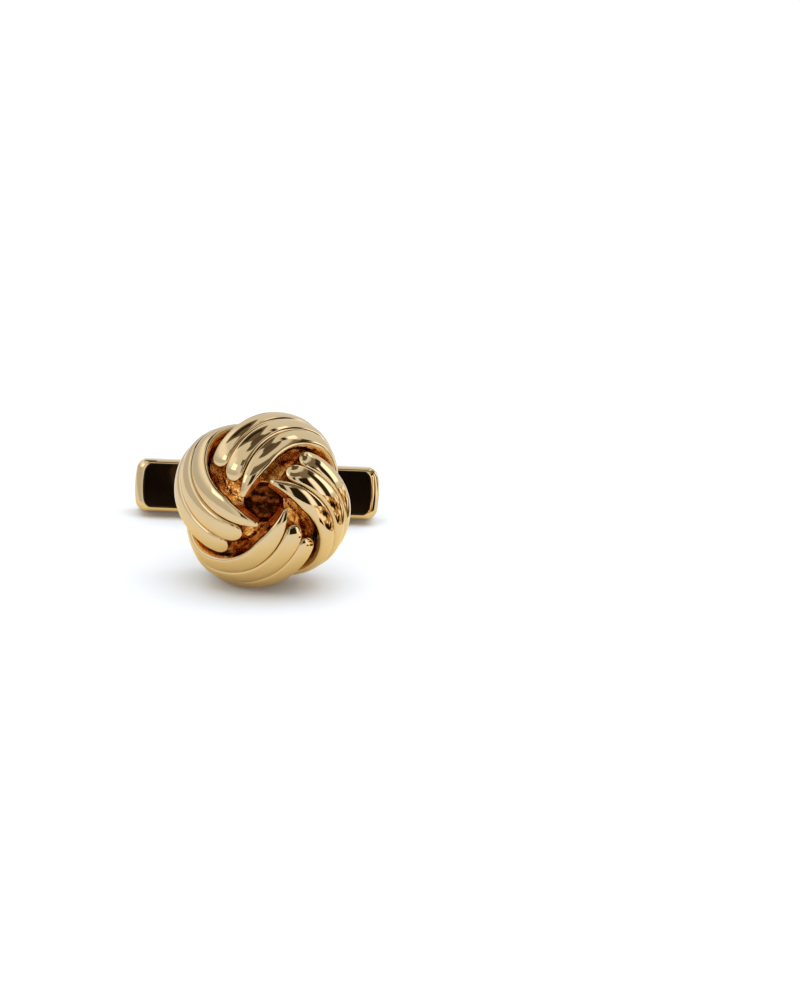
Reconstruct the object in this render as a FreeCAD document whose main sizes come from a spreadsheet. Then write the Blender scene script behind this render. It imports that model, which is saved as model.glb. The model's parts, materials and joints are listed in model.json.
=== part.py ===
"""A knot cufflink: a ball of twelve strands on a post, with a bar that swivels at the post's end.

Everything is drawn in the post's own frame: Z runs along the post and out through the knot's face,
X along the bar, and the origin is the middle of the knot. The finished pieces are then laid down as
the link lies on a table, on the knot's lowest strand and the bar's lower back edge.
"""
import FreeCAD, Part
import math
import os
import re
import Sketcher

Vector = FreeCAD.Vector

# Driving sizes in millimetres; those whose names end in angle or sweep are in degrees.
SIZES = {
    "core_radius": 4.53,
    "strand_height": 1.05,
    "strand_seam": 0.03,
    "inner_tip_round": 0.3,
    "middle_tip_round": 0.8,
    "outer_tip_round": 0.6,
    "claw_length": 3.0,
    "tip_edge": 0.2,
    "core_trim": 1.5,
    "well_radius": 1.45,
    "well_depth": 2.06,
    "rivet_head_radius": 1.36,
    "rivet_head_height": 0.5,
    "rivet_head_bevel": 0.2,
    "rivet_shank_radius": 0.6,
    "rivet_grip": 2.4,
    "plate_radius": 5.2,
    "plate_thickness": 0.8,
    "plate_edge_radius": 0.3,
    "stem_foot_radius": 1.3,
    "stem_foot_height": 0.6,
    "stem_radius": 1.15,
    "pin_distance": 14.0,
    "pin_radius": 0.6,
    "knuckle_radius": 1.2,
    "knuckle_width": 1.9,
    "tongue_length": 1.8,
    "washer_thickness": 0.15,
    "washer_rim": 0.45,
    "ear_radius": 1.25,
    "ear_thickness": 0.7,
    "hinge_height": 1.45,
    "bar_length": 18.8,
    "bar_height": 4.0,
    "bar_depth": 3.0,
    "bar_corner_radius": 0.7,
    "bar_edge_radius": 0.3,
    "rim_width": 0.42,
    "enamel_start": 2.6,
    "enamel_depth": 0.3,
    "enamel_sink": 0.04,
    "enamel_corner_radius": 0.35,
    "seat_gap": 0.02,
    "running_gap": 0.04,
    "overrun": 1.0,
    "rest_tolerance": 0.01,
    "band_tilt_angle": 37.5,
    "band_inner_angle": 41.3,
    "strand_angle": 13.6,
    "crown_angle": 32.0,
    "inner_tip_sweep": 3.6,
    "middle_tip_sweep": 15.9,
    "outer_tip_sweep": 24.2,
    "bridge_rise_sweep": 58.0,
    "bridge_level_sweep": 74.0,
    "tail_drop_sweep": 108.0,
    "tail_seat_sweep": 178.0,
    "tail_end_sweep": 200.0,
}

# The bands clockwise from below as seen from the front, with the heading of the axis each winds round.
BANDS = {"bottom": 180.0, "left": 90.0, "top": 0.0, "right": -90.0}
# The strands of a band from the knot's middle outwards.
STRANDS = ("inner", "middle", "outer")
# The innermost strand ends in a claw: the share of its width at the point, how it fills out behind it,
# and how far the point lies from the strand's middle towards its seam.
CLAW_POINT_SHARE = 0.16
CLAW_POWER = 1.5
CLAW_LEAN_SHARE = 0.8
# The radius of a strand's rounded shoulder as a share of its half width.
SHOULDER_SHARE = 0.4
# Where the sections of a strand stand: degrees round its fingertip, then steps of each stretch.
TIP_ANGLES = (12.0, 28.0, 45.0, 62.0, 78.0, 90.0)
STEPS_CLAW = 4
STEPS_RISE = 4
STEPS_LEVEL = 4
STEPS_TAIL = 10
STEPS_END = 3

# Places that several pieces share, written in the sheet's aliases.
CORE_BACK = "(core_radius - core_trim)"
WELL_FLOOR = "(core_radius - well_depth)"
PLATE_FRONT = f"{CORE_BACK} + seat_gap"
STEM_TOP = f"{CORE_BACK} + 2 * seat_gap + plate_thickness"
BAR_FACE = "pin_distance + hinge_height"
EAR_INNER = "knuckle_width / 2 + washer_thickness + 2 * running_gap"

doc = FreeCAD.newDocument("knot_cufflink")
sheet = doc.addObject("Spreadsheet::Sheet", "Sizes")
for row, (alias, value) in enumerate(SIZES.items(), start=1):
    sheet.set(f"A{row}", alias)
    sheet.set(f"B{row}", str(value))
    sheet.setAlias(f"B{row}", alias)
doc.recompute()


def size(alias):
    """The number in one cell of the sheet."""
    return float(sheet.get(alias))


def cell(text):
    """An expression in which every alias reads its cell."""
    return re.sub(r"[a-z_]+", lambda word: f"Sizes.{word[0]}" if word[0] in SIZES else word[0], text)


def new_body(label):
    body = doc.addObject("PartDesign::Body", label)
    body.Label = label
    return body


def new_sketch(body, plane, name, offset="0"):
    """A sketch on one of the body's own origin planes, moved along that plane's normal."""
    sketch = body.newObject("Sketcher::SketchObject", f"{body.Name}_{name}")
    support = next(item for item in body.Origin.OriginFeatures if item.Role == plane)
    sketch.AttachmentSupport = (support, [""])
    sketch.MapMode = "FlatFace"
    sketch.setExpression("AttachmentOffset.Base.z", cell(offset))
    return sketch


def hold_point(sketch, geometry, end, across, up):
    """Hold the end of a line or the centre of a circle at two sizes from the origin."""
    for kind, value in (("DistanceX", across), ("DistanceY", up)):
        index = sketch.addConstraint(Sketcher.Constraint(kind, -1, 1, geometry, end, 0))
        sketch.setExpression(f"Constraints[{index}]", cell(value))


def outline(sketch, corners):
    """A closed outline of straight lines, its corners given as pairs of expressions."""
    first = sketch.GeometryCount
    ends = [Vector(sketch.evalExpression(cell(across)), sketch.evalExpression(cell(up)), 0)
            for across, up in corners]
    for here, after in zip(ends, ends[1:] + ends[:1]):
        sketch.addGeometry(Part.LineSegment(here, after))
    for step in range(len(corners)):
        after = first + (step + 1) % len(corners)
        sketch.addConstraint(Sketcher.Constraint("Coincident", first + step, 2, after, 1))
    for step, (across, up) in enumerate(corners):
        hold_point(sketch, first + step, 1, across, up)


def rectangle(sketch, left, right, low, high):
    outline(sketch, [(left, low), (right, low), (right, high), (left, high)])


def circle(sketch, across, up, radius):
    centre = Vector(sketch.evalExpression(cell(across)), sketch.evalExpression(cell(up)), 0)
    shape = Part.Circle(centre, Vector(0, 0, 1), sketch.evalExpression(cell(radius)))
    geometry = sketch.addGeometry(shape)
    hold_point(sketch, geometry, 3, across, up)
    index = sketch.addConstraint(Sketcher.Constraint("Radius", geometry, shape.Radius))
    sketch.setExpression(f"Constraints[{index}]", cell(radius))


def pad(body, sketch, length, middle=False, back=False):
    feature = body.newObject("PartDesign::Pad", f"{sketch.Name}_pad")
    feature.Profile = sketch
    feature.SideType = "Symmetric" if middle else "One side"
    feature.Reversed = back
    feature.setExpression("Length", cell(length))
    doc.recompute()
    return feature


def pocket(body, sketch, depth, middle=False):
    before = body.Shape.Volume
    feature = body.newObject("PartDesign::Pocket", f"{sketch.Name}_cut")
    feature.Profile = sketch
    feature.SideType = "Symmetric" if middle else "One side"
    feature.setExpression("Length", cell(depth))
    doc.recompute()
    if not body.Shape.Volume < before:
        raise RuntimeError(f"{feature.Name} cuts nothing")
    return feature


def turn(body, sketch):
    feature = body.newObject("PartDesign::Revolution", f"{sketch.Name}_turned")
    feature.Profile = sketch
    feature.ReferenceAxis = (sketch, ["V_Axis"])
    doc.recompute()
    return feature


def fillet(body, base, accepts, radius):
    """Round those edges of a feature that the given test accepts."""
    chosen = [f"Edge{n}" for n, edge in enumerate(base.Shape.Edges, start=1) if accepts(edge)]
    feature = body.newObject("PartDesign::Fillet", f"{base.Name}_round")
    feature.Base = (base, chosen)
    feature.setExpression("Radius", cell(radius))
    doc.recompute()
    return feature


def runs_along_post(edge):
    """A straight edge along Z, such as the upright corner of a block."""
    if edge.Curve.TypeId != "Part::GeomLine":
        return False
    return math.isclose(abs(edge.Curve.Direction.z), 1, abs_tol=1e-6)


def lies_across_post(edge):
    """An edge that stays at one height along Z."""
    return math.isclose(edge.BoundBox.ZLength, 0, abs_tol=1e-6)


def smooth_step(share):
    share = min(max(share, 0), 1)
    return share * share * (3 - 2 * share)


class Strand:
    """One strand: a crowned section carried round its band's tilted axis at a steady height.

    It stands on the core, and its tail sinks to a single layer behind the knot's rim, where it passes
    under the outer strand of the next band. That strand is a bridge there, with its underside raised to
    the bed, the ball that lies one layer above the core. Heights are measured outwards from the bed.
    """

    def __init__(self, name, heading, place):
        tilt = math.radians(size("band_tilt_angle"))
        across, up = math.cos(math.radians(heading)), math.sin(math.radians(heading))
        self.axis = Vector(math.sin(tilt) * across, math.sin(tilt) * up, math.cos(tilt))
        self.near = Vector(-math.cos(tilt) * across, -math.cos(tilt) * up, math.sin(tilt))
        self.side = Vector(-up, across, 0)
        self.angle = math.radians(size("band_inner_angle") + (place + 1 / 2) * size("strand_angle"))
        self.top = size("strand_height")
        self.drop = self.top + size("strand_seam")
        self.bed = size("core_radius") + self.drop + 2 * size("strand_seam")
        self.reach = self.bed * math.sin(self.angle)
        self.start = math.radians(size(f"{name}_tip_sweep")) * self.reach
        self.round = size(f"{name}_tip_round")
        self.is_claw = name == "inner"
        self.is_bridge = name == "outer"

    def length_at(self, alias):
        """The length run from the band's front to one of the sweeps in the sheet."""
        return math.radians(size(alias)) * self.reach

    def lengths(self):
        """The lengths at which the sections stand."""
        places = [self.start + self.round * (1 - math.cos(math.radians(angle))) for angle in TIP_ANGLES]
        stretches = (
            (self.start + size("claw_length"), STEPS_CLAW),
            (self.length_at("bridge_level_sweep"), STEPS_RISE),
            (self.length_at("tail_drop_sweep"), STEPS_LEVEL),
            (self.length_at("tail_seat_sweep"), STEPS_TAIL),
            (self.length_at("tail_end_sweep"), STEPS_END),
        )
        for goal, steps in stretches:
            begin = places[-1]
            places += [begin + (goal - begin) * count / steps for count in range(1, steps + 1)]
        return places

    def smooth_between(self, run, first, last):
        """A smooth rise from 0 to 1 between two of the sweeps in the sheet."""
        first, last = self.length_at(first), self.length_at(last)
        return smooth_step((run - first) / (last - first))

    def heights(self, run):
        """Heights of the underside and the crown."""
        fall = self.smooth_between(run, "tail_drop_sweep", "tail_seat_sweep")
        planted = 1
        if self.is_bridge:
            planted -= self.smooth_between(run, "bridge_rise_sweep", "bridge_level_sweep")
        ahead = max(1 - (run - self.start) / self.round, 0)
        edge = size("tip_edge") * (1 - math.sqrt(1 - ahead * ahead))
        return -self.drop * max(planted, fall), self.top - self.drop * fall - edge

    def width_share(self, run):
        """The share of its width that the strand has: an ellipse round the tip, or the curve of a claw."""
        length = size("claw_length") if self.is_claw else self.round
        ahead = max(1 - (run - self.start) / length, 0)
        if self.is_claw:
            return 1 - (1 - CLAW_POINT_SHARE) * ahead ** CLAW_POWER
        return math.sqrt(1 - ahead * ahead)

    def wire(self, run):
        """The section at one place: a flat crown between two shoulders, on walls that lie on the seams."""
        foot_height, crown_height = self.heights(run)
        share = self.width_share(run)
        flare = math.tan(math.radians(size("strand_angle") / 2))
        crown = math.radians(size("crown_angle"))
        rise_share = SHOULDER_SHARE + (1 - SHOULDER_SHARE) * math.tan(crown / 2)
        foot = ((self.bed + foot_height) * flare - size("strand_seam") / 2) * share
        lean = flare * share
        wall = (foot + lean * (crown_height - foot_height)) / (1 + lean * rise_share)
        spring = crown_height - wall * rise_share
        shoulder = wall * SHOULDER_SHARE
        points = [(foot, foot_height), (wall, spring)]
        for angle in ((crown + math.pi / 2) / 2, crown):
            points.append((wall - shoulder + shoulder * math.sin(angle), spring + shoulder * math.cos(angle)))
        points.append((0, crown_height))

        sweep = run / self.reach
        spoke = self.near * math.cos(sweep) + self.side * math.sin(sweep)
        outward = self.axis * math.cos(self.angle) + spoke * math.sin(self.angle)
        across = spoke * math.cos(self.angle) - self.axis * math.sin(self.angle)
        lean_share = CLAW_LEAN_SHARE if self.is_claw else 0
        middle = across * (self.bed * flare * (1 - share) * lean_share)
        right = [middle + across * out + outward * (self.bed + height) for out, height in points]
        left = [middle - across * out + outward * (self.bed + height) for out, height in points]
        edges = [
            Part.LineSegment(left[0], right[0]),
            Part.LineSegment(right[0], right[1]),
            Part.Arc(right[1], right[2], right[3]),
            Part.Arc(right[3], right[4], left[3]),
            Part.Arc(left[3], left[2], left[1]),
            Part.LineSegment(left[1], left[0]),
        ]
        return Part.Wire([edge.toShape() for edge in edges])

    def solid(self):
        return Part.makeLoft([self.wire(run) for run in self.lengths()], True)


def make_strands():
    """Three strands lie side by side in each of four bands, which follow each other round the knot."""
    strands = []
    for band, heading in BANDS.items():
        for place, name in enumerate(STRANDS):
            feature = doc.addObject("Part::Feature", f"{band}_band_{name}_strand")
            feature.Label = feature.Name
            feature.Shape = Strand(name, heading, place).solid()
            strands.append(feature)
    return strands


def make_core():
    """The bead that the strands are wound on, flat behind, with a round well in front for the rivet."""
    ball = doc.addObject("Part::Sphere", "core_ball")
    ball.setExpression("Radius", cell("core_radius"))
    ball.setExpression("Angle1", cell(f"-asin({CORE_BACK} / core_radius)"))
    well = doc.addObject("Part::Cylinder", "core_well")
    well.setExpression("Radius", cell("well_radius"))
    well.setExpression("Height", cell("well_depth + overrun"))
    well.setExpression("Placement.Base.z", cell(WELL_FLOOR))
    bore = doc.addObject("Part::Cylinder", "core_bore")
    bore.setExpression("Radius", cell("rivet_shank_radius + seat_gap"))
    bore.setExpression("Height", cell(f"{CORE_BACK} + {WELL_FLOOR} + 2 * overrun"))
    bore.setExpression("Placement.Base.z", cell(f"-{CORE_BACK} - overrun"))
    hollow = doc.addObject("Part::Fuse", "core_hollow")
    hollow.Base = well
    hollow.Tool = bore
    core = doc.addObject("Part::Cut", "knot_core")
    core.Base = ball
    core.Tool = hollow
    core.Label = "knot_core"
    return core


def make_plate():
    """The disc that closes the knot's back and bears on the cuff."""
    body = new_body("back_plate")
    sketch = new_sketch(body, "XY_Plane", "disc", f"-({PLATE_FRONT})")
    circle(sketch, "0", "0", "plate_radius")
    disc = pad(body, sketch, "plate_thickness", back=True)
    fillet(body, disc, lies_across_post, "plate_edge_radius")
    hole = new_sketch(body, "XY_Plane", "hole", f"-({PLATE_FRONT})")
    circle(hole, "0", "0", "rivet_shank_radius + seat_gap")
    pocket(body, hole, "plate_thickness + overrun")
    return body


def make_rivet():
    """The rivet in the knot's well, whose shank holds core, plate and stem together."""
    body = new_body("knot_rivet")
    sketch = new_sketch(body, "XZ_Plane", "profile")
    seat = f"{WELL_FLOOR} + seat_gap"
    outline(sketch, [
        ("0", f"-({STEM_TOP}) - rivet_grip"),
        ("rivet_shank_radius", f"-({STEM_TOP}) - rivet_grip"),
        ("rivet_shank_radius", seat),
        ("rivet_head_radius", seat),
        ("rivet_head_radius", f"{seat} + rivet_head_height - rivet_head_bevel"),
        ("rivet_head_radius - rivet_head_bevel", f"{seat} + rivet_head_height"),
        ("0", f"{seat} + rivet_head_height"),
    ])
    turn(body, sketch)
    return body


def make_stem():
    """The post: a round stem that ends in a flat tongue, rounded and bored for the pin."""
    body = new_body("post_stem")
    profile = new_sketch(body, "XZ_Plane", "profile")
    outline(profile, [
        ("0", f"-({STEM_TOP})"),
        ("stem_foot_radius", f"-({STEM_TOP})"),
        ("stem_radius", f"-({STEM_TOP}) - stem_foot_height"),
        ("stem_radius", "-pin_distance"),
        ("0", "-pin_distance"),
    ])
    turn(body, profile)
    knuckle = new_sketch(body, "XZ_Plane", "knuckle")
    circle(knuckle, "0", "-pin_distance", "knuckle_radius")
    pad(body, knuckle, "knuckle_width", middle=True)
    flats = new_sketch(body, "YZ_Plane", "flats")
    for hand in ("", "-"):
        rectangle(flats, f"{hand}knuckle_width / 2", f"{hand}(knuckle_width / 2 + stem_radius)",
                  "-pin_distance - overrun", "-pin_distance + tongue_length")
    pocket(body, flats, "2 * stem_radius + overrun", middle=True)
    hole = new_sketch(body, "XZ_Plane", "pin_hole")
    circle(hole, "0", "-pin_distance", "pin_radius + running_gap")
    pocket(body, hole, "knuckle_width + overrun", middle=True)
    bore = new_sketch(body, "XY_Plane", "rivet_bore", f"-({STEM_TOP})")
    circle(bore, "0", "0", "rivet_shank_radius + seat_gap")
    pocket(body, bore, "rivet_grip + seat_gap")
    return body


def make_bar():
    """The bar: a rounded block with two hinge ears and a shallow tray for the enamel on each side."""
    body = new_body("toggle_bar")
    sketch = new_sketch(body, "XY_Plane", "block", f"-({BAR_FACE})")
    rectangle(sketch, "-bar_length / 2", "bar_length / 2", "-bar_height / 2", "bar_height / 2")
    block = pad(body, sketch, "bar_depth", back=True)
    corners = fillet(body, block, runs_along_post, "bar_corner_radius")
    fillet(body, corners, lies_across_post, "bar_edge_radius")
    ears = new_sketch(body, "XZ_Plane", "ears")
    rectangle(ears, "-ear_radius", "ear_radius", f"-({BAR_FACE}) - bar_edge_radius", "-pin_distance")
    pad(body, ears, f"2 * ({EAR_INNER} + ear_thickness)", middle=True)
    eyes = new_sketch(body, "XZ_Plane", "eyes")
    circle(eyes, "0", "-pin_distance", "ear_radius")
    pad(body, eyes, f"2 * ({EAR_INNER} + ear_thickness)", middle=True)
    slot = new_sketch(body, "XZ_Plane", "slot")
    rectangle(slot, "-ear_radius - overrun", "ear_radius + overrun",
              f"-({BAR_FACE})", "-pin_distance + ear_radius + overrun")
    pocket(body, slot, f"2 * ({EAR_INNER})", middle=True)
    hole = new_sketch(body, "XZ_Plane", "pin_hole")
    circle(hole, "0", "-pin_distance", "pin_radius + seat_gap")
    pocket(body, hole, "bar_height + overrun", middle=True)
    trays = new_sketch(body, "XY_Plane", "trays", f"-({BAR_FACE})")
    for hand in ("", "-"):
        rectangle(trays, f"{hand}enamel_start", f"{hand}(bar_length / 2 - rim_width)",
                  "-bar_height / 2 + rim_width", "bar_height / 2 - rim_width")
    cut = pocket(body, trays, "enamel_depth")
    fillet(body, cut, is_tray_corner, "enamel_corner_radius")
    return body


def is_tray_corner(edge):
    """The upright corners of the enamel trays, which are as tall as the trays are deep."""
    return runs_along_post(edge) and math.isclose(edge.Length, size("enamel_depth"), rel_tol=1e-3)


def make_enamel(hand, label):
    """The black enamel that fills a tray to just below its rim."""
    body = new_body(label)
    sketch = new_sketch(body, "XY_Plane", "sheet", f"-({BAR_FACE}) - enamel_sink")
    rectangle(sketch, f"{hand}(enamel_start + seat_gap)", f"{hand}(bar_length / 2 - rim_width - seat_gap)",
              "-bar_height / 2 + rim_width + seat_gap", "bar_height / 2 - rim_width - seat_gap")
    sheet_of_enamel = pad(body, sketch, "enamel_depth - enamel_sink - seat_gap", back=True)
    fillet(body, sheet_of_enamel, runs_along_post, "enamel_corner_radius - seat_gap")
    return body


def make_pin():
    """The hinge pin, flush with the outer faces of the ears that hold it."""
    body = new_body("hinge_pin")
    sketch = new_sketch(body, "XZ_Plane", "disc")
    circle(sketch, "0", "-pin_distance", "pin_radius")
    pad(body, sketch, f"2 * ({EAR_INNER} + ear_thickness)", middle=True)
    return body


def make_washer(hand, label):
    """A thin friction washer between the tongue and an ear."""
    body = new_body(label)
    sketch = new_sketch(body, "XZ_Plane", "ring", f"{hand}(knuckle_width / 2 + running_gap)")
    circle(sketch, "0", "-pin_distance", "pin_radius + seat_gap + washer_rim")
    circle(sketch, "0", "-pin_distance", "pin_radius + seat_gap")
    pad(body, sketch, "washer_thickness", back=hand == "-")
    return body


def points_of(features):
    """Points all over the faces of some pieces."""
    return [point for item in features for point in item.Shape.tessellate(size("rest_tolerance"))[0]]


def lying(knot, bar):
    """The placement that lays the link on the table, face to the front, centred on the origin."""
    knot_points, bar_points = points_of(knot), points_of([bar])

    def lowest(points, tilt):
        return min(point.y * math.cos(tilt) + point.z * math.sin(tilt) for point in points)

    low, high = 0, math.pi / 4
    while high - low > 1e-7:
        tilt = (low + high) / 2
        if lowest(bar_points, tilt) > lowest(knot_points, tilt):
            low = tilt
        else:
            high = tilt
    depths = [point.y * math.sin(tilt) - point.z * math.cos(tilt) for point in knot_points + bar_points]
    base = Vector(0, -(min(depths) + max(depths)) / 2, -lowest(knot_points, tilt))
    return FreeCAD.Placement(base, FreeCAD.Rotation(Vector(1, 0, 0), 90 - math.degrees(tilt)))


strands = make_strands()
bar = make_bar()
pieces = strands + [
    make_core(),
    make_plate(),
    make_rivet(),
    make_stem(),
    bar,
    make_enamel("", "right_enamel"),
    make_enamel("-", "left_enamel"),
    make_pin(),
    make_washer("-", "upper_washer"),
    make_washer("", "lower_washer"),
]
doc.recompute()
rest = lying(strands, bar)
for piece in pieces:
    piece.Placement = rest
doc.recompute()

for item in doc.Objects:
    if "Invalid" in item.State or "Error" in item.State:
        raise RuntimeError(f"{item.Label} failed: {item.State}")
for piece in pieces:
    if piece.Shape.isNull() or not piece.Shape.isValid() or len(piece.Shape.Solids) != 1:
        raise RuntimeError(f"{piece.Label} is not one sound solid")

os.makedirs("parts", exist_ok=True)
for piece in pieces:
    piece.Shape.exportStep(f"parts/{piece.Label}.step")
    box = piece.Shape.BoundBox
    print(f"{piece.Label}: {piece.Shape.Volume:.2f} mm3, "
          f"{box.XLength:.2f} x {box.YLength:.2f} x {box.ZLength:.2f} mm")
print(f"lies at {90 - math.degrees(rest.Rotation.Angle):.2f} degrees, base {rest.Base}")
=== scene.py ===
"""A polished knot cufflink lying on a white table, on its knot and the back edge of its bar.

The pieces follow each other as the link is put together: the bead at the knot's core, the strands
wound on it, the plate, rivet and post behind, and the bar that swivels at the post's end. Lengths are
in metres and angles in degrees.
"""
import json

import bpy
import numpy as np
from mathutils import Matrix, Vector


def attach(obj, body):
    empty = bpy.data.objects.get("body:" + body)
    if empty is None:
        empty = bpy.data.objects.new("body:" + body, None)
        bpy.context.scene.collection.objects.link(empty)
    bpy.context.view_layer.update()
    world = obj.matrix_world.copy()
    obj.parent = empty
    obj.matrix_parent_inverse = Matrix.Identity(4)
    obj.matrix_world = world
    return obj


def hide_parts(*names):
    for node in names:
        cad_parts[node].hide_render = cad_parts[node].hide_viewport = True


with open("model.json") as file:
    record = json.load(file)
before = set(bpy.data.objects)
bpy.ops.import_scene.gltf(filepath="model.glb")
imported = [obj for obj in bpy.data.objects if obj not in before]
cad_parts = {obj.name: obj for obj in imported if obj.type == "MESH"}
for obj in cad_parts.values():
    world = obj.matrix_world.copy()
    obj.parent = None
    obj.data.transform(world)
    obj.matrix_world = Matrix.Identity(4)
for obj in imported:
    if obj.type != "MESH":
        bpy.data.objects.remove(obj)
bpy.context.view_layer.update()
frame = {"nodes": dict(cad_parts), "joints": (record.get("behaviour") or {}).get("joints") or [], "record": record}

# The knot's core: a brass bead under gold plate, cast with a round well in front for the rivet.
# Its skin is left as it comes out of the mould, because no polishing wheel reaches between the strands.
# Its dark red-brown colour, patched with bright gold, is painted shade and painted glints of the hollows.
CORE_RADIUS = 4.53e-3
CORE_TRIM = 1.5e-3
WELL_RADIUS = 1.45e-3
WELL_DEPTH = 2.06e-3
BORE_RADIUS = 0.62e-3
PIN_DISTANCE = 14.0e-3
CORE_TURNS = 128
CORE_BALL_ROWS = 72
CORE_WALL_ROWS = 12
CORE_FLAT_ROWS = 8
CAST_GRAIN = 3600.0
CAST_DIMPLES = 1500.0
CAST_DIMPLE_SHARE = 1.6
# Patches that mix the hollows' painted shade with their painted glints.
CAST_SHADE_PATCH_SCALE = 2000.0
CAST_SHADE_PATCH_RANGE = (0.42, 0.62)
CAST_BUMP = 7.0e-5
CAST_ROUGHNESS = 0.1
# The hollows' colours: a bright gold painted glint and a dark red-brown painted shade.
HOLLOW_PAINTED_GLINT = (1.0, 0.62, 0.21, 1.0)
HOLLOW_PAINTED_SHADE = (0.48, 0.17, 0.03, 1.0)

swivel = frame["joints"][0]
post_mount = next(item for item in frame["record"]["mounts"] if item["name"] == "cuff_post")
post_axis = np.array(post_mount["axis"])
pin_axis = np.array(swivel["axis"])
bar_axis = np.cross(pin_axis, post_axis)
knot_centre = np.array(swivel["pos_m"]) + PIN_DISTANCE * post_axis


def placed(points):
    """Points of the post's own frame, bar by pin by post axis from the knot's middle, in the table's frame."""
    return knot_centre + points @ np.stack([bar_axis, pin_axis, post_axis])


def grid_mesh(name, tubes, rings=()):
    """A mesh from grids of points, rows by places round. A tube's end rows are closed by flat faces, a ring's meet."""
    faces, points, first = [], [], 0
    for grid, meets in [(tube, False) for tube in tubes] + [(ring, True) for ring in rings]:
        rows, across = grid.shape[:2]
        row, place = np.meshgrid(np.arange(rows - (not meets)), np.arange(across), indexing="ij")
        here, below = first + row * across, first + (row + 1) % rows * across
        after = (place + 1) % across
        faces += np.stack([here + place, here + after, below + after, below + place], -1).reshape(-1, 4).tolist()
        if not meets:
            faces.append((first + np.arange(across)[::-1]).tolist())
            faces.append((first + (rows - 1) * across + np.arange(across)).tolist())
        points.append(grid.reshape(-1, 3))
        first += rows * across
    mesh = bpy.data.meshes.new(name)
    mesh.from_pydata(np.concatenate(points), [], faces)
    mesh.polygons.foreach_set("use_smooth", np.ones(len(faces), bool))
    piece = bpy.data.objects.new(name, mesh)
    bpy.context.scene.collection.objects.link(piece)
    return piece


def turned(profile, turns):
    """A profile of radius and height turned round the post's axis."""
    angle = np.linspace(0, 2 * np.pi, turns, endpoint=False)
    radius, height = profile[:, 0, None], profile[:, 1, None]
    return placed(np.stack([radius * np.cos(angle), radius * np.sin(angle),
                            np.broadcast_to(height, (len(profile), turns))], -1))


def core_profile():
    """Up the bead from its flat back, over the edge of the well, down its wall and across its floor."""
    back = CORE_RADIUS - CORE_TRIM
    rim = np.arccos(WELL_RADIUS / CORE_RADIUS)
    slope = np.linspace(-np.arcsin(back / CORE_RADIUS), rim, CORE_BALL_ROWS)
    ball = CORE_RADIUS * np.stack([np.cos(slope), np.sin(slope)], -1)
    floor = CORE_RADIUS - WELL_DEPTH
    wall_height = np.linspace(ball[-1, 1], floor, CORE_WALL_ROWS)
    wall = np.stack([np.full(CORE_WALL_ROWS, WELL_RADIUS), wall_height], -1)
    floor_radius = np.linspace(WELL_RADIUS, BORE_RADIUS, CORE_FLAT_ROWS)
    bottom = np.stack([floor_radius, np.full(CORE_FLAT_ROWS, floor)], -1)
    back_radius = np.linspace(BORE_RADIUS, ball[0, 0], CORE_FLAT_ROWS)
    behind = np.stack([back_radius, np.full(CORE_FLAT_ROWS, -back)], -1)
    return np.concatenate([behind[:-1], ball, wall[1:], bottom[1:]])


def new_group(name, inputs, outputs):
    """A shader node group with number inputs, each with its value, and named outputs."""
    tree = bpy.data.node_groups.new(name, "ShaderNodeTree")
    for label, value in inputs.items():
        tree.interface.new_socket(label, in_out="INPUT", socket_type="NodeSocketFloat").default_value = value
    for label in outputs:
        tree.interface.new_socket(label, in_out="OUTPUT", socket_type="NodeSocketFloat")
    return tree, tree.nodes.new("NodeGroupInput"), tree.nodes.new("NodeGroupOutput")


def add_group(tree, group):
    node = tree.nodes.new("ShaderNodeGroup")
    node.node_tree = group
    return node


def feed(tree, value, socket):
    """Set a socket to a number or colour, or link another node's output to it."""
    if isinstance(value, (int, float, tuple)):
        socket.default_value = value
    else:
        tree.links.new(value, socket)


def math(tree, operation, *values):
    node = tree.nodes.new("ShaderNodeMath")
    node.operation = operation
    for value, socket in zip(values, node.inputs):
        feed(tree, value, socket)
    return node.outputs[0]


def map_range(tree, value, start=0.0, stop=1.0, low=0.0, high=1.0, smooth=False):
    """A value's way from start to stop, spread over low to high."""
    node = tree.nodes.new("ShaderNodeMapRange")
    node.interpolation_type = "SMOOTHSTEP" if smooth else "LINEAR"
    for label, given in (("Value", value), ("From Min", start), ("From Max", stop), ("To Min", low), ("To Max", high)):
        feed(tree, given, node.inputs[label])
    return node.outputs["Result"]


def noise(tree, vector, scale, detail):
    node = tree.nodes.new("ShaderNodeTexNoise")
    node.inputs["Detail"].default_value = detail
    tree.links.new(vector, node.inputs["Vector"])
    feed(tree, scale, node.inputs["Scale"])
    return node.outputs["Fac"]


def bump(tree, height, distance, strength, over=None):
    """A bump of a height and distance, by a strength or a mask, over another bump."""
    node = tree.nodes.new("ShaderNodeBump")
    node.inputs["Distance"].default_value = distance
    feed(tree, strength, node.inputs["Strength"])
    tree.links.new(height, node.inputs["Height"])
    if over is not None:
        tree.links.new(over, node.inputs["Normal"])
    return node.outputs["Normal"]


def blend(tree, share, first, second, kind="RGBA"):
    """Two colours, or two values of the kind FLOAT, mixed by a share."""
    node = tree.nodes.new("ShaderNodeMix")
    node.data_type = kind
    for label, given in (("Factor", share), ("A", first), ("B", second)):
        feed(tree, given, node.inputs[label])
    return node.outputs["Result"]


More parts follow.
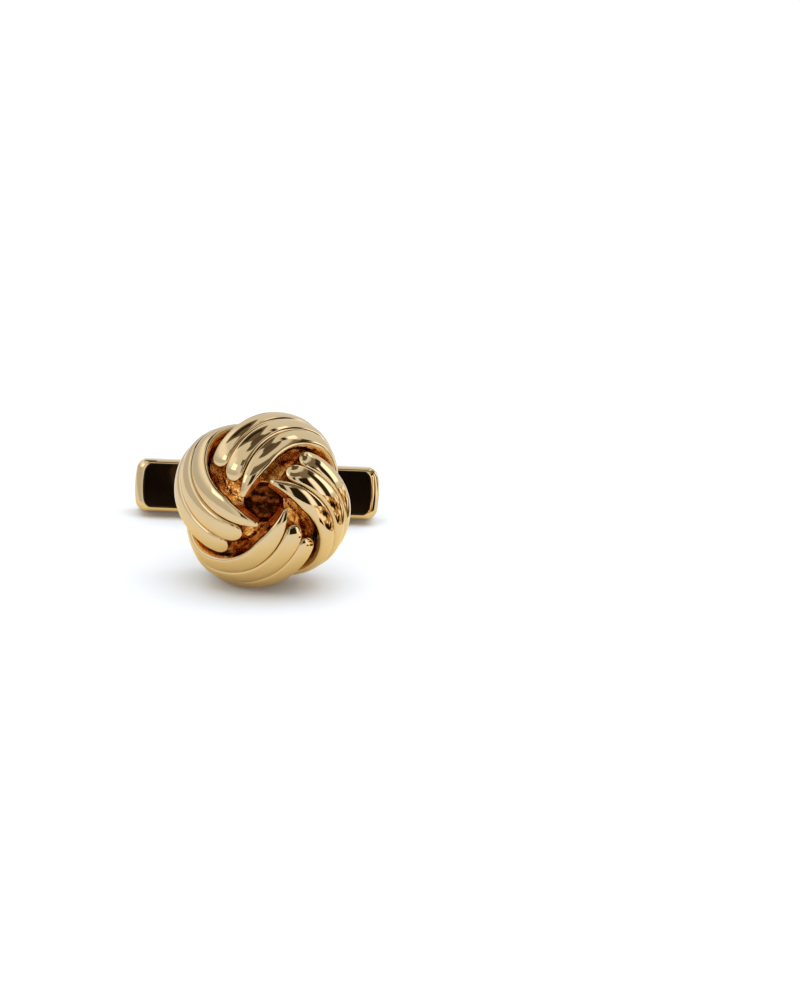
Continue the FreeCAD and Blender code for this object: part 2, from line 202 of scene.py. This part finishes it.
def cast_skin_group():
    """Rough casting: a fine grain over softer dimples, and patches that mix painted shade with painted glints."""
    tree, given, result = new_group("cast_skin", {"Grain": CAST_GRAIN}, ("Height", "Shade Patches"))
    place = tree.nodes.new("ShaderNodeTexCoord").outputs["Object"]
    grain = noise(tree, place, given.outputs["Grain"], 4.0)
    dimples = noise(tree, place, CAST_DIMPLES, 2.0)
    tree.links.new(math(tree, "MULTIPLY_ADD", dimples, CAST_DIMPLE_SHARE, grain), result.inputs["Height"])
    shade_patches = map_range(tree, noise(tree, place, CAST_SHADE_PATCH_SCALE, 3.0), *CAST_SHADE_PATCH_RANGE)
    tree.links.new(shade_patches, result.inputs["Shade Patches"])
    return tree


def new_material(name):
    """A material, its node tree and its shader."""
    material = bpy.data.materials.new(name)
    material.use_nodes = True
    return material, material.node_tree, material.node_tree.nodes["Principled BSDF"]


def new_metal(name):
    material, tree, shader = new_material(name)
    shader.inputs["Metallic"].default_value = 1.0
    return material, tree, shader


def make_cast_gold():
    material, tree, shader = new_metal("shaded_cast_gold")
    skin = add_group(tree, cast_skin)
    shader.inputs["Roughness"].default_value = CAST_ROUGHNESS
    tree.links.new(bump(tree, skin.outputs["Height"], CAST_BUMP, 1.0), shader.inputs["Normal"])
    # Painted shade of the hollows, dark red-brown, patched with painted glints of bright gold.
    tree.links.new(blend(tree, skin.outputs["Shade Patches"], HOLLOW_PAINTED_SHADE, HOLLOW_PAINTED_GLINT), shader.inputs["Base Color"])
    return material


cast_skin = cast_skin_group()
shaded_cast_gold = make_cast_gold()
core = grid_mesh("bead_core", [turned(core_profile(), CORE_TURNS)])
core.data.materials.append(shaded_cast_gold)
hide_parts("knot_core")
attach(core, "head")

# The knot's strands: round-topped gold wire in four bands of three, wound over each other like a pinwheel.
# The crowns are mirror-polished. Each strand stands on the bead, its front end is a rounded fingertip or,
# nearest the middle, a claw, and its tail is tucked under the next band.
STRAND_HEIGHT = 1.05e-3
STRAND_SEAM = 0.03e-3
STRAND_ANGLE = 13.6
BAND_TILT = 37.5
BAND_INNER_ANGLE = 41.3
CROWN_ANGLE = 16.0
SHOULDER_SHARE = 0.36
CLAW_LENGTH = 3.0e-3
CLAW_POINT = 0.1e-3
CLAW_POINT_SHARE = 0.16
CLAW_POWER = 1.5
CLAW_LEAN_SHARE = 0.8
CROWN_CUT = 0.067e-3
TIP_EDGE = 0.2e-3
TIP_DIP = 0.3e-3
TIP_DIP_LENGTH = 1.6e-3
TIP_ROUND = {"inner": 0.3e-3, "middle": 0.8e-3, "outer": 0.6e-3}
TIP_SWEEP = {"inner": 3.6, "middle": 15.9, "outer": 24.2}
BRIDGE_SWEEPS = (58.0, 74.0)
TAIL_SWEEPS = (108.0, 178.0)
END_SWEEP = 200.0
BAND_HEADINGS = {"bottom": 180.0, "left": 90.0, "top": 0.0, "right": -90.0}
TIP_ROWS = 26
TIP_FIRST_ANGLE = 3.0
BODY_ROWS = 230
WALL_STEPS = 5
SHOULDER_STEPS = 9
CROWN_STEPS = 16
GOLD_COLOUR = (0.82, 0.645, 0.39, 1.0)
GOLD_WARM = (0.80, 0.60, 0.325, 1.0)
POLISH_WAVE = 420.0
POLISH_HAIRLINE = 9000.0
POLISH_HAZE = 700.0
POLISH_BUMP = 1.0e-4
POLISH_WAVE_STRENGTH = 0.1
POLISH_ROUGHNESS = (0.03, 0.06)
HAIRLINE_STRETCH = (1.0, 0.12, 0.35)
HAIRLINE_SHARE = 0.02
STRAND_POLISH_AND_SHADE_RANGE = (0.72, 0.3)
STRAND_WAVE_STRENGTH = 0.16
STRAND_SKIN_BUMP = 5.0e-5
STRAND_ROUGHNESS = (0.035, 0.11)


def smooth_step(share):
    share = np.clip(share, 0, 1)
    return share * share * (3 - 2 * share)


def strand_rows(name, place):
    """Lengths run along a strand, with the section's share of width and heights of its foot and crown.

    Rows crowd round the fingertip by the cosine of its angle. The share is an ellipse at a fingertip,
    and in a claw one less a power of the length ahead. Heights are above the bed one layer up.
    """
    drop = STRAND_HEIGHT + STRAND_SEAM
    bed = CORE_RADIUS + drop + 2 * STRAND_SEAM
    reach = bed * np.sin(np.radians(BAND_INNER_ANGLE + (place + 1 / 2) * STRAND_ANGLE))
    start = np.radians(TIP_SWEEP[name]) * reach
    round_tip = TIP_ROUND[name]
    angle = np.radians(np.linspace(TIP_FIRST_ANGLE, 90, TIP_ROWS))
    body = np.linspace(start + round_tip, np.radians(END_SWEEP) * reach, BODY_ROWS)
    run = np.concatenate([start + round_tip * (1 - np.cos(angle)), body[1:]])

    def between(sweeps):
        first, last = np.radians(sweeps) * reach
        return smooth_step((run - first) / (last - first))

    def ellipse(length):
        return np.sqrt(1 - np.clip(1 - (run - start) / length, 0, 1) ** 2)

    fall = between(TAIL_SWEEPS)
    planted = 1 - between(BRIDGE_SWEEPS) if name == "outer" else np.ones_like(run)
    foot = -drop * np.maximum(planted, fall)
    dip = TIP_DIP * np.clip(1 - (run - start) / TIP_DIP_LENGTH, 0, 1) ** 2
    crown = STRAND_HEIGHT - CROWN_CUT - drop * fall - TIP_EDGE * (1 - ellipse(round_tip)) - dip
    share = ellipse(round_tip)
    if name == "inner":
        ahead = np.clip(1 - (run - start) / CLAW_LENGTH, 0, 1)
        share = (1 - (1 - CLAW_POINT_SHARE) * ahead ** CLAW_POWER) * ellipse(CLAW_POINT)
    return run / reach, share, foot, crown, bed


def strand_surface(name, heading, place):
    """The section carried round the band's axis: walls on the seams, shoulder arcs and a flat crown arc.

    Half the section runs from foot to crown, and its mirror image closes it. Also gives the height of
    each point above the core as a share of the strand's full height, for the polish and the painted shade.
    """
    sweep, share, foot_height, crown_height, bed = strand_rows(name, place)
    flare = np.tan(np.radians(STRAND_ANGLE / 2))
    crown = np.radians(CROWN_ANGLE)
    rise = SHOULDER_SHARE + (1 - SHOULDER_SHARE) * np.tan(crown / 2)
    foot = ((bed + foot_height) * flare - STRAND_SEAM / 2) * share
    lean = flare * share
    wall = (foot + lean * (crown_height - foot_height)) / (1 + lean * rise)
    spring = crown_height - wall * rise
    shoulder = wall * SHOULDER_SHARE

    steps = np.linspace(0, 1, WALL_STEPS, endpoint=False)
    turn = np.linspace(np.pi / 2, crown, SHOULDER_STEPS, endpoint=False)
    arc = np.linspace(crown, 0, CROWN_STEPS)
    crown_radius = (wall - shoulder + shoulder * np.sin(crown)) / np.sin(crown)
    out = np.concatenate([
        foot[:, None] + (wall - foot)[:, None] * steps,
        (wall - shoulder)[:, None] + shoulder[:, None] * np.sin(turn),
        crown_radius[:, None] * np.sin(arc),
    ], axis=1)
    up = np.concatenate([
        foot_height[:, None] + (spring - foot_height)[:, None] * steps,
        spring[:, None] + shoulder[:, None] * np.cos(turn),
        crown_height[:, None] - crown_radius[:, None] * (1 - np.cos(arc)),
    ], axis=1)
    out = np.concatenate([out, -out[:, -2::-1]], axis=1)
    up = np.concatenate([up, up[:, -2::-1]], axis=1)
    if name == "inner":
        out = out + (bed * flare * (1 - share) * CLAW_LEAN_SHARE)[:, None]

    tilt, turned_to = np.radians(BAND_TILT), np.radians(heading)
    axis = np.array([np.sin(tilt) * np.cos(turned_to), np.sin(tilt) * np.sin(turned_to), np.cos(tilt)])
    near = np.array([-np.cos(tilt) * np.cos(turned_to), -np.cos(tilt) * np.sin(turned_to), np.sin(tilt)])
    side = np.array([-np.sin(turned_to), np.cos(turned_to), 0])
    cone = np.radians(BAND_INNER_ANGLE + (place + 1 / 2) * STRAND_ANGLE)
    spoke = np.cos(sweep)[:, None] * near + np.sin(sweep)[:, None] * side
    outward = np.cos(cone) * axis + np.sin(cone) * spoke
    across = np.cos(cone) * spoke - np.sin(cone) * axis
    points = out[..., None] * across[:, None] + (bed + up)[..., None] * outward[:, None]
    return placed(points), (up + STRAND_HEIGHT) / (2 * STRAND_HEIGHT)


def polish_marks_group():
    """Wheel polish: a slow waviness of the surface, faint hairlines, and a haze that comes and goes."""
    inputs = {"Wave": POLISH_WAVE, "Hairline": POLISH_HAIRLINE}
    tree, given, result = new_group("polish_marks", inputs, ("Height", "Haze"))
    place = tree.nodes.new("ShaderNodeTexCoord").outputs["Object"]
    wave = noise(tree, place, given.outputs["Wave"], 1.0)
    stretch = tree.nodes.new("ShaderNodeMapping")
    stretch.inputs["Scale"].default_value = HAIRLINE_STRETCH
    tree.links.new(place, stretch.inputs["Vector"])
    hairline = noise(tree, stretch.outputs["Vector"], given.outputs["Hairline"], 2.0)
    tree.links.new(math(tree, "MULTIPLY_ADD", hairline, HAIRLINE_SHARE, wave), result.inputs["Height"])
    tree.links.new(noise(tree, place, POLISH_HAZE, 3.0), result.inputs["Haze"])
    return tree


def spread(tree, value, limits):
    """A value from 0 to 1 spread between two limits."""
    return map_range(tree, value, low=limits[0], high=limits[1])


def make_polished_gold():
    material, tree, shader = new_metal("polished_gold")
    polish = add_group(tree, polish_marks)
    wave = bump(tree, polish.outputs["Height"], POLISH_BUMP, POLISH_WAVE_STRENGTH)
    tree.links.new(wave, shader.inputs["Normal"])
    tree.links.new(spread(tree, polish.outputs["Haze"], POLISH_ROUGHNESS), shader.inputs["Roughness"])
    tree.links.new(blend(tree, polish.outputs["Haze"], GOLD_WARM, GOLD_COLOUR), shader.inputs["Base Color"])
    return material


def make_strand_gold():
    """Polished gold on the crowns, which goes over to the cast skin and the hollows' painted shade down the walls."""
    material, tree, shader = new_metal("strand_gold")
    polish, skin = add_group(tree, polish_marks), add_group(tree, cast_skin)
    height = tree.nodes.new("ShaderNodeAttribute")
    height.attribute_name = "strand_height"
    depth = map_range(tree, height.outputs["Fac"], *STRAND_POLISH_AND_SHADE_RANGE, smooth=True)
    gold = blend(tree, polish.outputs["Haze"], GOLD_WARM, GOLD_COLOUR)
    # Down the walls: the hollows' painted shade and painted glints.
    wall = blend(tree, skin.outputs["Shade Patches"], HOLLOW_PAINTED_SHADE, HOLLOW_PAINTED_GLINT)
    tree.links.new(blend(tree, depth, gold, wall), shader.inputs["Base Color"])
    tree.links.new(spread(tree, depth, STRAND_ROUGHNESS), shader.inputs["Roughness"])
    wave = bump(tree, polish.outputs["Height"], POLISH_BUMP, STRAND_WAVE_STRENGTH)
    tree.links.new(bump(tree, skin.outputs["Height"], STRAND_SKIN_BUMP, depth, wave), shader.inputs["Normal"])
    return material


polish_marks = polish_marks_group()
polished_gold = make_polished_gold()
strand_gold = make_strand_gold()
for band, heading in BAND_HEADINGS.items():
    for place, name in enumerate(TIP_SWEEP):
        points, height = strand_surface(name, heading, place)
        strand = grid_mesh(f"{band}_{name}_wire", [points])
        layer = strand.data.attributes.new("strand_height", "FLOAT", "POINT")
        layer.data.foreach_set("value", height.ravel().astype(np.float32))
        strand.data.materials.append(strand_gold)
        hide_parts(f"{band}_band_{name}_strand")
        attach(strand, "head")

# The rivet: a bronze pin that holds the bead, the plate and the post together.
# Its flat head, bevelled round the edge, is pressed down in the bead's well; its dark red-brown is painted shade of
# that deep well.
RIVET_SHADED_COLOUR = (0.66, 0.17, 0.03, 1.0)
RIVET_PAINTED_SHADE = (0.22, 0.045, 0.008, 1.0)
BRONZE_BUMP = 2.0e-5
BRONZE_BUMP_STRENGTH = 0.25
BRONZE_ROUGHNESS = (0.08, 0.2)


def make_shaded_rivet():
    material, tree, shader = new_metal("rivet_painted_shade")
    skin = add_group(tree, cast_skin)
    marks = bump(tree, skin.outputs["Height"], BRONZE_BUMP, BRONZE_BUMP_STRENGTH)
    tree.links.new(marks, shader.inputs["Normal"])
    tree.links.new(spread(tree, skin.outputs["Shade Patches"], BRONZE_ROUGHNESS), shader.inputs["Roughness"])
    # Painted shade of the deep well: dark red-brown, darker in patches.
    tree.links.new(blend(tree, skin.outputs["Shade Patches"], RIVET_PAINTED_SHADE, RIVET_SHADED_COLOUR), shader.inputs["Base Color"])
    return material


frame["nodes"]["knot_rivet"].data.materials.clear()
frame["nodes"]["knot_rivet"].data.materials.append(make_shaded_rivet())

# The gold pieces behind the knot: the round plate that closes its back, the post with its flat tongue, and the
# hinge's pin and two washers. They are turned from brass, polished and gold-plated. The rivet holds plate and
# post, and the pin sits in the ears of the bar.
for node in ("back_plate", "post_stem", "hinge_pin", "upper_washer", "lower_washer"):
    frame["nodes"][node].data.materials.clear()
    frame["nodes"][node].data.materials.append(polished_gold)

# The bar: a gold-plated block, milled and polished, with softly rolled edges and slightly bowed ends.
# The two bevelled ears in its middle are one piece with it, and the hinge pin goes through their holes.
BAR_FACE = -15.45e-3
BAR_BACK = -18.45e-3
BAR_HALF_LENGTH = 9.4e-3
BAR_HALF_HEIGHT = 2.0e-3
BAR_CORNER = 0.75e-3
BAR_BOW = 0.25e-3
BAR_ROLLS = np.array([[0.3e-3, 0.3e-3, 0.3e-3], [0.85e-3, 0.4e-3, 0.55e-3]])
EAR_RADIUS = 1.25e-3
EAR_SIDES = (1.18e-3, 1.88e-3)
EAR_BEVEL = 0.06e-3
EAR_HOLE = 0.62e-3
EAR_ROOT = 1.75e-3
EAR_TURNS = 96
OUTLINE_STEPS = 12
ROLL_STEPS = 16
BOW_POWER = 8
TINY = 1e-6


def outline(length, height, corner):
    """A rounded rectangle about the origin, from half length, half height and corner radius, for each row."""
    share = np.linspace(0, 1, OUTLINE_STEPS)
    angle = np.radians(np.linspace(0, 90, OUTLINE_STEPS))[1:-1]
    length, height, corner = (np.asarray(value)[:, None] for value in (length, height, corner))
    x = np.concatenate([length + 0 * share, length - corner * (1 - np.cos(angle)), (length - corner) * (1 - share)], 1)
    y = np.concatenate([(height - corner) * share, height - corner * (1 - np.sin(angle)), height + 0 * share], 1)
    quarter = np.stack([x, y], -1)
    return np.concatenate([quarter, quarter[:, -2::-1] * (-1, 1), -quarter[:, 1:], quarter[:, -2:0:-1] * (1, -1)], 1)


def rolled_block(length, height, corner, bow, rolls, front, back):
    """Outlines stacked from back to front, inset at both edges by one less the sine of the roll's angle.

    The back and the front edge each have a roll's reach at the ends, at the sides and in depth.
    The ends bow outwards by the square of the height, and a high power of the length keeps the bow near them.
    """
    angle = np.radians(np.linspace(0, 90, ROLL_STEPS))
    inset = np.stack([1 - np.sin(angle), 1 - np.sin(angle), 1 - np.cos(angle)])
    end, side, fall = np.concatenate([inset * rolls[0][:, None], inset[:, ::-1] * rolls[1][:, None]], 1)
    depth = np.where(np.arange(len(fall)) < len(angle), back + fall, front - fall)
    flat = outline(length - end, height - side, corner - side)
    bowed = 1 - bow / length * (flat[..., 1] / height) ** 2 * (flat[..., 0] / length) ** BOW_POWER
    return np.stack([flat[..., 0] * bowed, flat[..., 1], np.broadcast_to(depth[:, None], flat.shape[:2])], -1)


def ear(side):
    """A bevelled plate round the pin's hole: a half circle on top, and straight sides down into the bar."""
    turn = np.linspace(0, 2 * np.pi, EAR_TURNS, endpoint=False)
    across, up = np.sin(turn), np.cos(turn)
    edge = np.where(up >= 0, EAR_RADIUS, np.minimum(EAR_RADIUS / np.maximum(np.abs(across), TINY),
                                                    EAR_ROOT / np.maximum(-up, TINY)))
    inner, outer = EAR_SIDES
    reach = np.stack([0 * edge + EAR_HOLE, edge - EAR_BEVEL, edge, edge, edge - EAR_BEVEL, 0 * edge + EAR_HOLE], 1)
    height = side * np.array([inner, inner, inner + EAR_BEVEL, outer - EAR_BEVEL, outer, outer])
    return np.stack([reach * across[:, None], np.broadcast_to(height, reach.shape),
                     reach * up[:, None] - PIN_DISTANCE], -1)[::-side]


block = rolled_block(BAR_HALF_LENGTH, BAR_HALF_HEIGHT, BAR_CORNER, BAR_BOW, BAR_ROLLS, BAR_FACE, BAR_BACK)
bar = grid_mesh("swivel_bar", [placed(block)], [placed(ear(1)), placed(ear(-1))])
bar.data.materials.append(polished_gold)
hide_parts("toggle_bar")
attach(bar, "toggle")

# The enamel on the bar: a black panel on each side of the ears, polished almost level with the gold, so that only its
# edges are round.
# Its black, with a brown depth and a warm sheen, is a painted reflection of the dark studio in the bar's polished gold
# face.
ENAMEL_FROM = 2.6e-3
ENAMEL_TO = 8.8e-3
ENAMEL_HALF_HEIGHT = 1.7e-3
ENAMEL_CORNER = 0.65e-3
ENAMEL_BOW = 0.2e-3
ENAMEL_ROLLS = np.array([[0.05e-3, 0.05e-3, 0.05e-3], [0.12e-3, 0.12e-3, 0.06e-3]])
ENAMEL_RISE = 0.03e-3
ENAMEL_DEPTH = 0.3e-3
ENAMEL_PAINTED_REFLECTION = (0.0015, 0.001, 0.001, 1.0)
ENAMEL_PAINTED_REFLECTION_BROWN = (0.008, 0.004, 0.0015, 1.0)
ENAMEL_PAINTED_SHEEN = (1.0, 0.62, 0.4, 1.0)
ENAMEL_WAVE_STRENGTH = 0.06
ENAMEL_ROUGHNESS = (0.04, 0.12)


def make_enamel():
    material, tree, shader = new_material("black_enamel")
    polish = add_group(tree, polish_marks)
    # Painted reflection of the dark studio: near black with a brown haze, and a warm painted sheen.
    tree.links.new(blend(tree, polish.outputs["Haze"], ENAMEL_PAINTED_REFLECTION, ENAMEL_PAINTED_REFLECTION_BROWN), shader.inputs["Base Color"])
    tree.links.new(spread(tree, polish.outputs["Haze"], ENAMEL_ROUGHNESS), shader.inputs["Roughness"])
    wave = bump(tree, polish.outputs["Height"], POLISH_BUMP, ENAMEL_WAVE_STRENGTH)
    tree.links.new(wave, shader.inputs["Normal"])
    shader.inputs["Specular Tint"].default_value = ENAMEL_PAINTED_SHEEN
    return material


enamel = make_enamel()
for hand, node in ((1, "right_enamel"), (-1, "left_enamel")):
    sheet = rolled_block((ENAMEL_TO - ENAMEL_FROM) / 2, ENAMEL_HALF_HEIGHT, ENAMEL_CORNER, ENAMEL_BOW, ENAMEL_ROLLS,
                         BAR_FACE + ENAMEL_RISE, BAR_FACE - ENAMEL_DEPTH)
    sheet[..., 0] += hand * (ENAMEL_FROM + ENAMEL_TO) / 2
    panel = grid_mesh(f"{node}_panel", [placed(sheet)])
    panel.data.materials.append(enamel)
    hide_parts(node)
    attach(panel, "toggle")

# The table: a plain matt white sheet, which carries the link and its shadow.
# In the metal's reflections its colour is painted: a grey painted shade far off, and a warm painted light close to the
# link, where the gold would light it.
TABLE_SIZE = 3.0
TABLE_COLOUR = (0.82, 0.868, 0.925, 1.0)
TABLE_FAR_PAINTED_SHADE = (0.64, 0.64, 0.64, 1.0)
TABLE_NEAR_PAINTED_LIGHT = (0.74, 0.65, 0.38, 1.0)
TABLE_NEAR_REACH = (0.010, 0.022)
TABLE_GLOW = 0.06
TABLE_ROUGHNESS = 0.9
WHITE = (1.0, 1.0, 1.0, 1.0)


def flat_sheet(name, corners):
    """A sheet with one face through four corners."""
    mesh = bpy.data.meshes.new(name)
    mesh.from_pydata(corners, [], [(0, 1, 2, 3)])
    sheet = bpy.data.objects.new(name, mesh)
    bpy.context.scene.collection.objects.link(sheet)
    return sheet


def make_table():
    half = TABLE_SIZE / 2
    table = flat_sheet("table", [(-half, -half, 0), (half, -half, 0), (half, half, 0), (-half, half, 0)])
    material, tree, shader = new_material("white_table")
    shader.inputs["Roughness"].default_value = TABLE_ROUGHNESS
    shader.inputs["Specular IOR Level"].default_value = 0.0
    shader.inputs["Emission Color"].default_value = WHITE
    rays = tree.nodes.new("ShaderNodeLightPath").outputs
    camera_ray, glossy_ray = rays["Is Camera Ray"], rays["Is Glossy Ray"]
    distance = tree.nodes.new("ShaderNodeVectorMath")
    distance.operation = "LENGTH"
    tree.links.new(tree.nodes.new("ShaderNodeTexCoord").outputs["Object"], distance.inputs[0])
    far = map_range(tree, distance.outputs["Value"], *TABLE_NEAR_REACH)
    # Seen by the metal only: painted warm light near the link, painted grey shade far off.
    colour = blend(tree, glossy_ray, TABLE_COLOUR, blend(tree, far, TABLE_NEAR_PAINTED_LIGHT, TABLE_FAR_PAINTED_SHADE))
    tree.links.new(colour, shader.inputs["Base Color"])
    glow = math(tree, "MULTIPLY", math(tree, "MAXIMUM", camera_ray, glossy_ray), TABLE_GLOW)
    tree.links.new(glow, shader.inputs["Emission Strength"])
    table.data.materials.append(material)


make_table()

# The studio: a pale cloth tent round the table, whose brown gaps and bright strips show in the polished gold.
# Directions are degrees to the right of the lens side and degrees above the table. The lens sees only white.
TENT_LEVEL = 0.76
GAP_COLOUR = (1.0, 0.72, 0.40, 1.0)
GAP_LEVEL = 0.6
STUDIO_PATCHES = (
    # level, azimuth from, to, elevation from, to, softness
    (0.60, -190.0, -30.0, -10.0, 20.0, 8.0),
    (1.05, -150.0, -60.0, 28.0, 52.0, 8.0),
    (0.10, -190.0, 190.0, 80.0, 95.0, 2.0),
    (0.12, -45.0, 130.0, 71.0, 82.0, 2.0),
    (0.15, -182.0, -115.0, 48.0, 82.0, 2.0),
    (0.03, -172.0, -125.0, 54.0, 66.0, 2.0),
    (0.16, -28.0, 50.0, 40.0, 57.0, 2.0),
    (0.22, 40.0, 112.0, 32.0, 56.0, 4.0),
    (0.02, 28.0, 61.0, -10.0, 34.0, 2.0),
    (1.25, 64.0, 78.0, -2.0, 30.0, 2.0),
    (0.03, 80.0, 98.0, -10.0, 44.0, 2.0),
    (0.05, 95.0, 118.0, 34.0, 46.0, 2.0),
    (1.60, 100.0, 121.0, 6.0, 32.0, 2.0),
    (1.50, 118.0, 142.0, 51.0, 62.0, 2.0),
    (0.04, 118.0, 150.0, 64.0, 70.0, 2.0),
    (1.80, -66.0, -42.0, 22.0, 40.0, 2.0),
    (0.03, -9.0, 11.0, 8.0, 38.0, 2.0),
)


def patch_group():
    """A mask that is 1 inside a box of directions and falls off smoothly over its edges."""
    labels = ("Azimuth", "Elevation", "Azimuth From", "Azimuth To", "Elevation From", "Elevation To", "Softness")
    tree, given, result = new_group("studio_patch", dict.fromkeys(labels, 0.0), ("Mask",))
    softness = given.outputs["Softness"]

    def edge(angle, at, low, high):
        start, stop = math(tree, "SUBTRACT", at, softness), math(tree, "ADD", at, softness)
        return map_range(tree, given.outputs[angle], start, stop, low, high, smooth=True)

    def inside(angle):
        first, last = (given.outputs[f"{angle} {limit}"] for limit in ("From", "To"))
        return math(tree, "MULTIPLY", edge(angle, first, 0.0, 1.0), edge(angle, last, 1.0, 0.0))

    tree.links.new(math(tree, "MULTIPLY", inside("Azimuth"), inside("Elevation")), result.inputs["Mask"])
    return tree


def make_studio():
    world = bpy.data.worlds.new("studio")
    bpy.context.scene.world = world
    world.use_nodes = True
    tree = world.node_tree
    background = tree.nodes["Background"]
    parts = tree.nodes.new("ShaderNodeSeparateXYZ")
    tree.links.new(tree.nodes.new("ShaderNodeTexCoord").outputs["Generated"], parts.inputs[0])
    front = math(tree, "MULTIPLY", parts.outputs["Y"], -1.0)
    azimuth = math(tree, "DEGREES", math(tree, "ARCTAN2", parts.outputs["X"], front))
    elevation = math(tree, "DEGREES", math(tree, "ARCSINE", parts.outputs["Z"]))
    level = TENT_LEVEL
    patch = patch_group()
    for patch_level, *limits in STUDIO_PATCHES:
        node = add_group(tree, patch)
        for value, socket in zip((azimuth, elevation, *limits), node.inputs):
            feed(tree, value, socket)
        level = blend(tree, node.outputs["Mask"], level, patch_level, "FLOAT")
    camera_ray = tree.nodes.new("ShaderNodeLightPath").outputs["Is Camera Ray"]
    seen = blend(tree, camera_ray, level, 1.0, "FLOAT")
    tree.links.new(seen, background.inputs["Strength"])
    tint = blend(tree, map_range(tree, seen, 0.0, GAP_LEVEL), GAP_COLOUR, WHITE)
    tree.links.new(tint, background.inputs["Color"])


make_studio()

# The lamp: a large soft box of white cloth, hung above the table and a little to its right.
# It gives the link its soft shadow, and the metal doesn't mirror it.
LAMP_PLACE = (0.15, -0.03, 0.4)
LAMP_SIZE = 0.8
LAMP_POWER = 2.75


def make_lamp():
    light = bpy.data.lights.new("soft_box", "AREA")
    light.energy = LAMP_POWER
    light.size = LAMP_SIZE
    lamp = bpy.data.objects.new("soft_box", light)
    lamp.location = LAMP_PLACE
    lamp.visible_glossy = False
    bpy.context.scene.collection.objects.link(lamp)


make_lamp()

# The foil: a glowing card that stands low on the link's right, with black, amber and white creases.
# Only the metal mirrors it: a painted reflection of the pair's second cufflink, as a glitter on the knot's right side.
FOIL_X = 0.0155
FOIL_Y = (-0.016, 0.006)
FOIL_Z = (0.0002, 0.008)
FOIL_CREASE = 280.0
BLACK = (0.0, 0.0, 0.0, 1.0)
# Colours of the painted reflection, from black creases through amber to glowing white.
FOIL_PAINTED_REFLECTION_COLOURS = ((0.44, (0.012, 0.007, 0.002, 1.0)), (0.47, (0.46, 0.25, 0.08, 1.0)),
                (0.53, (0.60, 0.38, 0.15, 1.0)), (0.56, (1.2, 1.08, 0.9, 1.0)))


def make_reflection_card():
    corners = [(FOIL_Y[0], FOIL_Z[0]), (FOIL_Y[0], FOIL_Z[1]), (FOIL_Y[1], FOIL_Z[1]), (FOIL_Y[1], FOIL_Z[0])]
    card = flat_sheet("foil", [(FOIL_X, *corner) for corner in corners])
    card.visible_camera = card.visible_diffuse = card.visible_shadow = False
    material, tree, shader = new_material("painted_reflection_card")
    shader.inputs["Base Color"].default_value = BLACK
    shader.inputs["Specular IOR Level"].default_value = 0.0
    shader.inputs["Emission Strength"].default_value = 1.0
    ramp = tree.nodes.new("ShaderNodeValToRGB")
    while len(ramp.color_ramp.elements) < len(FOIL_PAINTED_REFLECTION_COLOURS):
        ramp.color_ramp.elements.new(1.0)
    for element, (place, colour) in zip(ramp.color_ramp.elements, FOIL_PAINTED_REFLECTION_COLOURS):
        element.position, element.color = place, colour
    crease = noise(tree, tree.nodes.new("ShaderNodeTexCoord").outputs["Object"], FOIL_CREASE, 3.0)
    tree.links.new(crease, ramp.inputs["Fac"])
    tree.links.new(ramp.outputs["Color"], shader.inputs["Emission Color"])
    card.data.materials.append(material)


make_reflection_card()

# The camera: a long lens a little above the link, so that it looks almost straight along the post.
# The link lies left of the picture's middle and is seen a little turned.
LENS_AZIMUTH = -1.53
LENS_ELEVATION = 16.206
LENS_DISTANCE = 0.3434
LENS_AIM_RIGHT = 0.0295
LENS_AIM_UP = 0.0012
LENS_ROLL = 3.15
LENS_PIXELS = 4668.7
PICTURE_HEIGHT = 1000
SENSOR = 36.0
LENS_NEAR = 0.01


def make_camera():
    azimuth, elevation, roll = np.radians([LENS_AZIMUTH, LENS_ELEVATION, LENS_ROLL])
    away = np.array([np.sin(azimuth) * np.cos(elevation), -np.cos(azimuth) * np.cos(elevation), np.sin(elevation)])
    right = np.cross(-away, [0, 0, 1])
    right /= np.linalg.norm(right)
    forward = -away + LENS_AIM_RIGHT * right + LENS_AIM_UP * np.cross(right, -away)
    forward /= np.linalg.norm(forward)
    level = np.cross(forward, [0, 0, 1])
    level /= np.linalg.norm(level)
    upright = np.cross(level, forward)
    side = np.cos(roll) * level + np.sin(roll) * upright
    up = np.cos(roll) * upright - np.sin(roll) * level
    lens = bpy.data.cameras.new("lens")
    lens.sensor_width = SENSOR
    lens.lens = LENS_PIXELS * SENSOR / PICTURE_HEIGHT
    lens.clip_start = LENS_NEAR
    camera = bpy.data.objects.new("lens", lens)
    camera.matrix_world = Matrix.Translation(Vector(knot_centre + LENS_DISTANCE * away)) @ Matrix(
        np.stack([side, up, -forward], axis=1).tolist()).to_4x4()
    bpy.context.scene.collection.objects.link(camera)
    bpy.context.scene.camera = camera


make_camera()
bpy.context.scene.view_settings.view_transform = "Standard"
